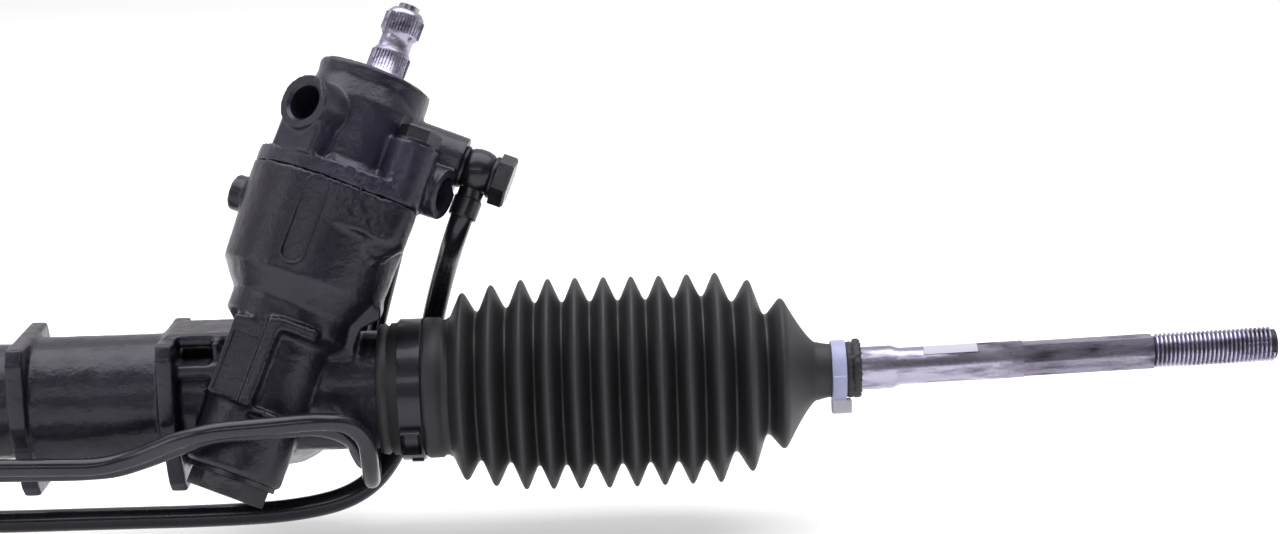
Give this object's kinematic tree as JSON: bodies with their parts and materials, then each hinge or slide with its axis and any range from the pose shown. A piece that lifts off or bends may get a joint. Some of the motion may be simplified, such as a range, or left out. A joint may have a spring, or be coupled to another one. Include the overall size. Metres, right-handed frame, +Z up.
{
  "type": "hydraulic steering rack",
  "caption": "Hydraulic power steering rack with angled pinion valve tower, pressure lines, bellows boots and inner tie rods.",
  "frame": {"origin": "centre of the clamping seat between the two flanges, on the rack's axis", "axes": "+X along the rack towards the pinion side's tie rod, +Y towards the back where the yoke is, +Z up"},
  "size_m": [1.0722, 0.1153, 0.1852],
  "materials": {
    "cast_black": "semi-gloss black paint over cast metal",
    "valve_black": "semi-gloss black paint over cast metal",
    "tube_black": "gloss black paint on steel tube",
    "fastener_black": "black paint on steel",
    "line_black": "gloss black paint on steel line",
    "nut_black": "black paint on steel",
    "clip_black": "black paint on pressed steel",
    "washer_alloy": "dull aluminium",
    "boot_rubber": "matte black rubber",
    "band_steel": "black painted steel band",
    "tie_nylon": "pale nylon",
    "seal_rubber": "black rubber",
    "ground_steel": "ground steel",
    "shaft_steel": "bare steel",
    "socket_steel": "forged steel",
    "rod_steel": "bare steel with dark stains",
    "liner_plastic": "white acetal",
    "bearing_steel": "polished bearing steel",
    "yoke_alloy": "cast aluminium"
  },
  "bodies": {
    "housing": {"banjo_bolt": "fastener_black", "banjo_fitting": "fastener_black", "banjo_washers": "washer_alloy", "boot_left": "boot_rubber", "boot_right": "boot_rubber", "cylinder_port_left": "tube_black", "cylinder_port_right": "tube_black", "cylinder_tube": "tube_black", "end_casting": "cast_black", "gear_housing": "cast_black", "housing_bolt_1": "fastener_black", "housing_bolt_2": "fastener_black", "inner_rack_seal": "seal_rubber", "input_bearing": "bearing_steel", "input_seal": "seal_rubber", "large_clamp_left": "band_steel", "large_clamp_right": "band_steel", "lower_bearing_cage": "bearing_steel", "lower_bearing_outer": "bearing_steel", "lower_line": "line_black", "lower_line_port_nut": "nut_black", "lower_line_valve_nut": "nut_black", "neck_bearing": "bearing_steel", "outer_rack_seal": "seal_rubber", "pinion_plug": "fastener_black", "pipe_clip_left": "clip_black", "pipe_clip_right": "clip_black", "return_nut": "nut_black", "return_pipe": "line_black", "upper_line": "line_black", "upper_line_port_nut": "nut_black", "upper_line_valve_nut": "nut_black", "valve_housing": "valve_black", "yoke": "yoke_alloy", "yoke_liner": "liner_plastic", "yoke_lock_nut": "fastener_black", "yoke_plug": "fastener_black", "yoke_spring": "bearing_steel"},
    "rack": {"rack_bar": "ground_steel", "piston": "ground_steel", "piston_ring": "liner_plastic", "ball_socket_left": "socket_steel", "ball_socket_right": "socket_steel", "lock_washer_left": "socket_steel", "lock_washer_right": "socket_steel"},
    "pinion": {"pinion": "ground_steel", "valve_sleeve": "ground_steel", "sleeve_rings": "liner_plastic", "pinion_nut": "ground_steel", "lower_bearing_inner": "bearing_steel"},
    "input_shaft": {"input_shaft": "shaft_steel", "torsion_bar": "ground_steel", "torsion_pin": "ground_steel"},
    "ball_seat_left": {"ball_liner_left": "liner_plastic"},
    "ball_seat_right": {"ball_liner_right": "liner_plastic"},
    "tie_rod_left": {"tie_rod_left": "rod_steel", "small_clamp_left": "tie_nylon"},
    "tie_rod_right": {"tie_rod_right": "rod_steel", "small_clamp_right": "tie_nylon"}
  },
  "joints": [
    {"name": "rack_travel", "type": "slide", "parent": "housing", "child": "rack", "axis": [1, 0, 0], "range_m": [-0.063, 0.063], "deforming": ["boot_right", "boot_left"]},
    {"name": "pinion_turn", "type": "hinge", "parent": "housing", "child": "pinion", "pos_m": [0.0581, -0.01469, 0.00535], "axis": [0.3681, 0.318, 0.8737], "range_deg": [-516, 516]},
    {"name": "input_twist", "type": "hinge", "parent": "pinion", "child": "input_shaft", "pos_m": [0.0581, -0.01469, 0.00535], "axis": [0.3681, 0.318, 0.8737], "range_deg": [-4.5, 4.5], "stiffness_Nm_per_rad": 20},
    {"name": "ball_lift_right", "type": "hinge", "parent": "rack", "child": "ball_seat_right", "pos_m": [0.2022, 0, 0], "axis": [0, 1, 0], "range_deg": [-16, 16], "deforming": ["boot_right"]},
    {"name": "ball_swing_right", "type": "hinge", "parent": "ball_seat_right", "child": "tie_rod_right", "pos_m": [0.2022, 0, 0], "axis": [0, 0, 1], "range_deg": [-16, 16], "deforming": ["boot_right"]},
    {"name": "ball_lift_left", "type": "hinge", "parent": "rack", "child": "ball_seat_left", "pos_m": [-0.4578, 0, 0], "axis": [0, 1, 0], "range_deg": [-16, 16], "deforming": ["boot_left"]},
    {"name": "ball_swing_left", "type": "hinge", "parent": "ball_seat_left", "child": "tie_rod_left", "pos_m": [-0.4578, 0, 0], "axis": [0, 0, 1], "range_deg": [-16, 16], "deforming": ["boot_left"]}
  ],
  "couplings": [
    {"joint": "pinion_turn", "follows": "rack_travel", "rad_per_m": -142.86}
  ]
}
